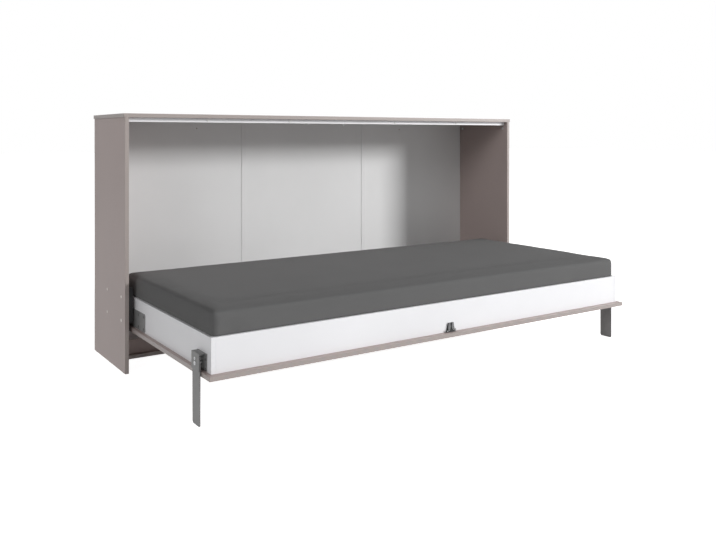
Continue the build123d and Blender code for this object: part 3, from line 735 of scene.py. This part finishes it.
class FOLDINGBED_OT_boards(bpy.types.Operator):
    """Finish the boards of the cabinet and of the bed with banded edges"""

    bl_idname = "folding_bed.boards"
    bl_label = "Boards"

    def execute(self, context):
        edge = settings().sizes.board_round
        taupe = ["taupe_face", "taupe_edge", "chipboard"]
        white = ["white_face", "white_edge", "chipboard"]
        down, back = (0, 0, -1), (0, 1, 0)
        for side, _ in SIDES:
            dress(f"side_panel_{side}", taupe, edge, 0.02, with_bare_edges(0, [down, back]))
            dress(f"end_rail_{side}", white, edge, 0.015, by_axis(0))
        dress("top_panel", taupe, edge, 0.015, with_bare_edges(2, [back]))
        dress("base_board", taupe, edge, 0.015, with_bare_edges(2, [back]))
        dress("door_panel", taupe, edge, 0.015, by_axis(2))
        dress("kick_rail", taupe, edge, 0.015, with_bare_edges(1, [down]))
        dress("wall_rail_top", taupe, edge, 0.015, with_bare_edges(1, [down]))
        dress("wall_rail_bottom", taupe, edge, 0.015, with_bare_edges(1, [down]))
        dress("stop_rail", white, edge, 0.015, by_axis(1))
        dress("front_rail", white, edge, 0.015, by_axis(1))
        dress("rear_rail", white, edge, 0.015, by_axis(1))
        return {"FINISHED"}


class FOLDINGBED_OT_back(bpy.types.Operator):
    """Finish the sheets of the cabinet's back and the strips between them"""

    bl_idname = "folding_bed.back"
    bl_label = "Back"

    def execute(self, context):
        for number in (1, 2, 3):
            dress(f"back_panel_{number}", ["back_lacquer", "fibreboard"], 0.0, 0.01,
                  lambda face: 0 if face.normal.y < -0.9 else 1)
        dress("back_joint_strips", ["strip_plastic"], 0.0003, 0.01)
        return {"FINISHED"}


class FOLDINGBED_OT_slats(bpy.types.Operator):
    """Finish the slats, their sockets, the ledges and the frame's angles"""

    bl_idname = "folding_bed.slats"
    bl_label = "Slatted base"

    def execute(self, context):
        sizes = settings().sizes
        dress("slats", ["birch", "plies"], sizes.slat_round, 0.004, by_axis(2))
        dress("slat_holders", ["black_plastic"], 0.0006, 0.002)
        dress("slat_ledge_front", ["beech"], 0.0015, 0.01)
        dress("slat_ledge_rear", ["beech"], 0.0015, 0.01)
        dress("frame_angles", ["zinc"], sizes.steel_round, 0.0015)
        return {"FINISHED"}


# Mattress
class FOLDINGBED_OT_mattress(bpy.types.Operator):
    """Make the foam mattress in its knitted cover"""

    bl_idname = "folding_bed.mattress"
    bl_label = "Mattress"

    edge_round = 0.020
    corner_round = 0.022
    crown = 0.001
    widening = Vector((0.013, 0.0025, 0.0))
    shift = Vector((-0.004, -0.0145, 0.0))
    rise = 0.005
    lip = (0.3013, 0.3030, 0.3050)
    fill = 0.85
    cloth_values = {
        "quality": 4,
        "mass": 0.4,
        "tension_stiffness": 40.0,
        "compression_stiffness": 40.0,
        "shear_stiffness": 10.0,
        "bending_stiffness": 2.0,
        "use_pressure": True,
        "uniform_pressure_force": 4.0,
    }

    def execute(self, context):
        sizes = settings().sizes
        low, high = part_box("mattress")
        piece = self.shaped_block(low, high, sizes.cloth_step)
        self.settle(context, piece, sizes, low, high)
        subdivide = piece.modifiers.new("smooth", "SUBSURF")
        subdivide.levels = 1
        subdivide.render_levels = 1
        stand_for(piece, "mattress")
        return {"FINISHED"}

    def rows(self, low, high, step):
        """Places of the rows between two ends, close together at the rounded edges."""
        near, far = self.edge_round * 0.3, self.edge_round
        count = max(2, round((high - low - 2 * far) / step))
        inner = [low + far + (high - low - 2 * far) * n / count for n in range(count + 1)]
        return [low, low + near, *inner, high - near, high]

    def shaped_block(self, low, high, step):
        """A block of even quads, wider above the rails, with rounded corners and edges."""
        middle = (low + high) / 2
        half = (high - low) / 2
        upper = self.rows(self.lip[-1], high.z, step)[2:]
        lower = self.rows(low.z, self.lip[0], step)[:-2]
        places = [self.rows(low.x, high.x, step), self.rows(low.y, high.y, step),
                  [*lower, *self.lip, *upper]]
        counts = [len(row) - 1 for row in places]
        bm = bmesh.new()
        grid = {}
        for i, x in enumerate(places[0]):
            for j, y in enumerate(places[1]):
                for k, z in enumerate(places[2]):
                    if any(n in (0, m) for n, m in zip((i, j, k), counts)):
                        local = Vector((x, y, z)) - middle
                        grid[i, j, k] = bm.verts.new(middle + self.shaped(local, half, z))
        for axis in range(3):
            self.add_side(bm, grid, counts, axis)
        piece = new_piece("mattress_cover", bm, ["cover"])
        piece.modifiers.clear()
        return piece

    def add_side(self, bm, grid, counts, axis):
        """Faces of the two sides that are square to an axis."""
        first, second = [k for k in range(3) if k != axis]
        for end in (0, counts[axis]):
            for a in range(counts[first]):
                for b in range(counts[second]):
                    corners = []
                    for da, db in ((0, 0), (1, 0), (1, 1), (0, 1)):
                        where = [0, 0, 0]
                        where[axis], where[first], where[second] = end, a + da, b + db
                        corners.append(grid[tuple(where)])
                    outwards = (end > 0) == (axis != 1)
                    bm.faces.new(corners if outwards else reversed(corners))

    def shaped(self, local, half, height):
        """Pull a point of a plain block onto the finished shape."""
        above = height > self.lip[0]
        wide = half + self.widening if above else half
        plan = Vector((local.x * wide.x / half.x, local.y * wide.y / half.y))
        plan = self.round_corner(plan, wide)
        over = abs(local.z) - half.z + self.edge_round
        gap, inwards = self.edge_gap(plan, wide)
        z = local.z
        if over > 0 and gap > 0:
            scale = max(over, gap) / math.hypot(over, gap)
            z = math.copysign(half.z - self.edge_round + over * scale, z)
            plan += inwards * gap * (1 - scale)
        if local.z > 0:
            z -= self.crown * (local.y / half.y) ** 2 * local.z / half.z
        moved = Vector((plan.x, plan.y, z))
        return moved + self.shift if above else moved

    def round_corner(self, plan, half):
        """Move a point of a rectangle onto the rectangle with round corners."""
        core = self.nearest_core(plan, half)
        away = plan - core
        if away.x and away.y:
            return core + away.normalized() * max(abs(away.x), abs(away.y))
        return plan

    def nearest_core(self, plan, half):
        """The nearest point that lies inside by the radius of the corners."""
        limits = (half.x - self.corner_round, half.y - self.corner_round)
        return Vector(max(-limit, min(limit, c)) for c, limit in zip(plan, limits))

    def edge_gap(self, plan, half):
        """How far a point lies into the rounded rim, and the way inwards from there."""
        away = plan - self.nearest_core(plan, half)
        reach = away.length - self.corner_round + self.edge_round
        if away.length < 1e-9 or reach <= 0:
            return 0.0, Vector((0, 0))
        return reach, -away.normalized()

    def settle(self, context, piece, sizes, low, high):
        """Let the cover fill out under pressure, then limit how far each point moved."""
        start = [vert.co.copy() for vert in piece.data.vertices]
        cloth = piece.modifiers.new("cover", "CLOTH")
        for name, value in self.cloth_values.items():
            setattr(cloth.settings, name, value)
        cloth.settings.effector_weights.gravity = 0.0
        cloth.point_cache.frame_start = 1
        cloth.point_cache.frame_end = sizes.settle_frames
        for step in range(1, sizes.settle_frames + 1):
            context.scene.frame_set(step)
        graph = context.evaluated_depsgraph_get()
        swollen = [vert.co.copy() for vert in piece.evaluated_get(graph).data.vertices]
        piece.modifiers.remove(cloth)
        context.scene.frame_set(1)
        lip_low = Vector((low.x, low.y, self.lip[0])) - self.widening + self.shift
        lip_high = high + self.widening + self.shift + Vector((0, 0, self.rise))
        for vert, was, now in zip(piece.data.vertices, start, swollen):
            move = now - was
            if move.length > sizes.cover_swell:
                move = move.normalized() * sizes.cover_swell
            above = was.z > self.lip[0] + 0.001
            least, most = (lip_low, lip_high) if above else (low, high)
            place = was + move
            vert.co = Vector(min(max(p, a), b) for p, a, b in zip(place, least, most))


# Steel pieces
class FOLDINGBED_OT_hinges(bpy.types.Operator):
    """Finish the hinge plates, the bed plates and their pins"""

    bl_idname = "folding_bed.hinges"
    bl_label = "Hinges"

    def execute(self, context):
        edge = settings().sizes.steel_round
        for side, _ in SIDES:
            dress(f"hinge_plate_{side}", ["black_steel"], edge, 0.0025)
            dress(f"bed_plate_{side}", ["grey_steel"], edge, 0.0025)
            dress(f"pivot_pin_{side}", ["zinc"], 0.0, 0.01)
            dress(f"strut_pin_{side}", ["dark_zinc"], 0.0003, 0.0008)
        dress("wall_bracket", ["zinc"], edge, 0.0015)
        return {"FINISHED"}


class FOLDINGBED_OT_struts(bpy.types.Operator):
    """Finish the gas struts"""

    bl_idname = "folding_bed.struts"
    bl_label = "Gas struts"

    def execute(self, context):
        for side, _ in SIDES:
            dress(f"strut_tube_{side}", ["black_steel"], 0.0005, 0.0012)
            self.dress_rod(f"strut_rod_{side}")
        return {"FINISHED"}

    def dress_rod(self, node):
        """Chrome on the rod itself, black steel on its end ring."""
        low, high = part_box(node)
        reach = high.z - low.z
        end_of_rod = low.z + 0.15 * reach
        dress(node, ["chrome", "black_steel"], 0.0003, 0.0008,
              lambda face: 0 if face.calc_center_median().z > end_of_rod else 1)


class FOLDINGBED_OT_legs(bpy.types.Operator):
    """Finish the folding legs, their brackets and spacers"""

    bl_idname = "folding_bed.legs"
    bl_label = "Legs"

    def execute(self, context):
        edge = settings().sizes.steel_round
        for side, _ in SIDES:
            dress(f"leg_{side}", ["grey_steel"], edge, 0.0015)
            dress(f"leg_bracket_{side}", ["grey_steel"], edge, 0.0025)
        dress("leg_spacers", ["zinc"], 0.0002, 0.0008)
        return {"FINISHED"}


class FOLDINGBED_OT_latch(bpy.types.Operator):
    """Finish the latch on the bed's front rail and the stud that it grips"""

    bl_idname = "folding_bed.latch"
    bl_label = "Latch"

    def execute(self, context):
        edge = settings().sizes.steel_round
        low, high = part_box("latch_case")
        base_top = low.z + 0.35 * (high.z - low.z)
        dress("latch_case", ["zinc", "black_steel"], edge, 0.0025,
              lambda face: 1 if face.calc_center_median().z < base_top else 0)
        for side, _ in SIDES:
            dress(f"latch_jaw_{side}", ["dark_zinc"], edge, 0.002)
        dress("latch_pins", ["zinc"], 0.0002, 0.0004)
        dress("strike_pin", ["zinc"], 0.0004, 0.0005)
        return {"FINISHED"}


# Fasteners
class FOLDINGBED_OT_fasteners(bpy.types.Operator):
    """Make the bolts, screws, cam locks, caps and dowels"""

    bl_idname = "folding_bed.fasteners"
    bl_label = "Fasteners"

    def execute(self, context):
        self.make_bolts("hinge_bolts", "zinc", head_side=-1, shank=0.0035, head=0.003,
                        recess="hex", recess_radius=0.0028)
        self.make_bolts("bed_plate_screws", "dark_zinc", head_side=1, shank=0.003, head=0.0024,
                        recess="cross", recess_radius=0.003)
        self.make_bolts("leg_bolts", "zinc", head_side=1, shank=0.004, head=0.0024,
                        recess="hex", recess_radius=0.0026)
        self.make_latch_screws()
        self.make_cams()
        self.make_caps()
        dress("cam_bolts", ["zinc"], 0.0002, 0.0006)
        dress("cabinet_dowels", ["beech"], 0.0, 0.01)
        dress("frame_dowels", ["beech"], 0.0, 0.01)
        return {"FINISHED"}

    def make_bolts(self, node, finish, head_side, shank, head, recess, recess_radius):
        """Bolts across the bed; head_side is 1 where the heads face away from its middle."""
        bm = bmesh.new()
        for low, high in islands(node):
            middle = (low + high) / 2
            away = math.copysign(1.0, middle.x) * head_side
            radius = (high.z - low.z) / 2
            tip = Vector((low.x if away > 0 else high.x, middle.y, middle.z))
            narrow = min(shank, radius * 0.6)
            rings = rounded_head(high.x - low.x, head, radius, narrow, recess, recess_radius,
                                 head * 0.6)
            add_turned(bm, tip, Vector((away, 0, 0)), rings)
        stand_for(new_piece(f"{node}_turned", bm, [finish]), node)

    def make_latch_screws(self):
        """Sunk screws that face the bed's front."""
        bm = bmesh.new()
        for low, high in islands("latch_screws"):
            middle = (low + high) / 2
            radius = (high.x - low.x) / 2
            rings = rounded_head(high.y - low.y, 0.0012, radius, 0.0015, "cross", 0.0018, 0.0008)
            add_turned(bm, Vector((middle.x, high.y, middle.z)), Vector((0, -1, 0)), rings)
        stand_for(new_piece("latch_screws_turned", bm, ["zinc"]), "latch_screws")

    def make_cams(self):
        """Cam locks, sunk into the sides, with a stepped face and a cross recess."""
        bm = bmesh.new()
        for low, high in islands("cam_locks"):
            middle = (low + high) / 2
            inwards = -math.copysign(1.0, middle.x)
            radius = (high.z - low.z) / 2
            length = high.x - low.x
            start = Vector((low.x if inwards > 0 else high.x, middle.y, middle.z))
            rings = [(0.0, radius, "round"), (length - 0.0006, radius, "round"),
                     (length, radius - 0.0006, "round"), (length, radius * 0.72, "round"),
                     (length - 0.0008, radius * 0.68, "round"),
                     (length - 0.0008, radius * 0.5, "cross"),
                     (length - 0.0040, radius * 0.4, "cross")]
            add_turned(bm, start, Vector((inwards, 0, 0)), rings)
        stand_for(new_piece("cam_locks_cast", bm, ["cast_zinc"]), "cam_locks")

    def make_caps(self):
        """Slightly domed plastic caps on the cabinet's outer faces."""
        bm = bmesh.new()
        for low, high in islands("cover_caps"):
            middle = (low + high) / 2
            away = math.copysign(1.0, middle.x)
            radius = (high.z - low.z) / 2
            height = high.x - low.x
            start = Vector((low.x if away > 0 else high.x, middle.y, middle.z))
            rings = [(0.0, radius, "round"), (height * 0.35, radius, "round"),
                     (height * 0.7, radius * 0.9, "round"), (height * 0.9, radius * 0.65, "round"),
                     (height, radius * 0.3, "round")]
            add_turned(bm, start, Vector((away, 0, 0)), rings)
        stand_for(new_piece("cover_caps_domed", bm, ["grey_plastic"]), "cover_caps")


class FOLDINGBED_OT_pads(bpy.types.Operator):
    """Make the floor glides and the felt dots that the door meets"""

    bl_idname = "folding_bed.pads"
    bl_label = "Glides and felt dots"

    def execute(self, context):
        bm = bmesh.new()
        for low, high in islands("floor_glides"):
            middle = (low + high) / 2
            radius = (high.x - low.x) / 2
            height = high.z - low.z
            rings = [(0.0, radius, "round"), (height * 0.5, radius, "round"),
                     (height * 0.85, radius * 0.93, "round"), (height, radius * 0.8, "round")]
            add_turned(bm, Vector((middle.x, middle.y, high.z)), Vector((0, 0, -1)), rings)
        stand_for(new_piece("floor_glides_moulded", bm, ["black_plastic"]), "floor_glides")
        bm = bmesh.new()
        for low, high in islands("door_buffers"):
            middle = (low + high) / 2
            radius = (high.x - low.x) / 2
            height = high.y - low.y
            rings = [(0.0, radius, "round"), (height * 0.7, radius, "round"),
                     (height, radius * 0.88, "round")]
            add_turned(bm, Vector((middle.x, high.y, middle.z)), Vector((0, -1, 0)), rings)
        stand_for(new_piece("door_buffers_felt", bm, ["felt"]), "door_buffers")
        return {"FINISHED"}


class FoldingBedSettings(bpy.types.PropertyGroup):
    """All settings of the bed."""

    view: PointerProperty(type=FoldingBedView)
    light: PointerProperty(type=FoldingBedLight)
    colours: PointerProperty(type=FoldingBedColours)
    sizes: PointerProperty(type=FoldingBedSizes)


OPERATORS = (
    FOLDINGBED_OT_camera,
    FOLDINGBED_OT_stage,
    FOLDINGBED_OT_boards,
    FOLDINGBED_OT_back,
    FOLDINGBED_OT_slats,
    FOLDINGBED_OT_mattress,
    FOLDINGBED_OT_hinges,
    FOLDINGBED_OT_struts,
    FOLDINGBED_OT_legs,
    FOLDINGBED_OT_latch,
    FOLDINGBED_OT_fasteners,
    FOLDINGBED_OT_pads,
)


class VIEW3D_PT_folding_bed(bpy.types.Panel):
    """Buttons that build the bed and the settings that they use"""

    bl_label = "Folding Bed"
    bl_space_type = "VIEW_3D"
    bl_region_type = "UI"
    bl_category = "Folding Bed"

    def draw(self, context):
        for operator in OPERATORS:
            self.layout.operator(operator.bl_idname)
        for group in (settings().view, settings().light, settings().colours, settings().sizes):
            box = self.layout.box()
            for name in group.bl_rna.properties.keys():
                if name not in ("rna_type", "name"):
                    box.prop(group, name)


CLASSES = (
    FoldingBedView,
    FoldingBedLight,
    FoldingBedColours,
    FoldingBedSizes,
    FoldingBedSettings,
    *OPERATORS,
    VIEW3D_PT_folding_bed,
)


def register():
    """Add the settings, the operators and the panel."""
    for item in CLASSES:
        bpy.utils.register_class(item)
    bpy.types.Scene.folding_bed = PointerProperty(type=FoldingBedSettings)


def unregister():
    """Take them out again."""
    del bpy.types.Scene.folding_bed
    for item in reversed(CLASSES):
        bpy.utils.unregister_class(item)


def main():
    """Build everything in order."""
    register()
    for operator in OPERATORS:
        _, name = operator.bl_idname.split(".")
        getattr(bpy.ops.folding_bed, name)()


if __name__ == "__main__":
    main()
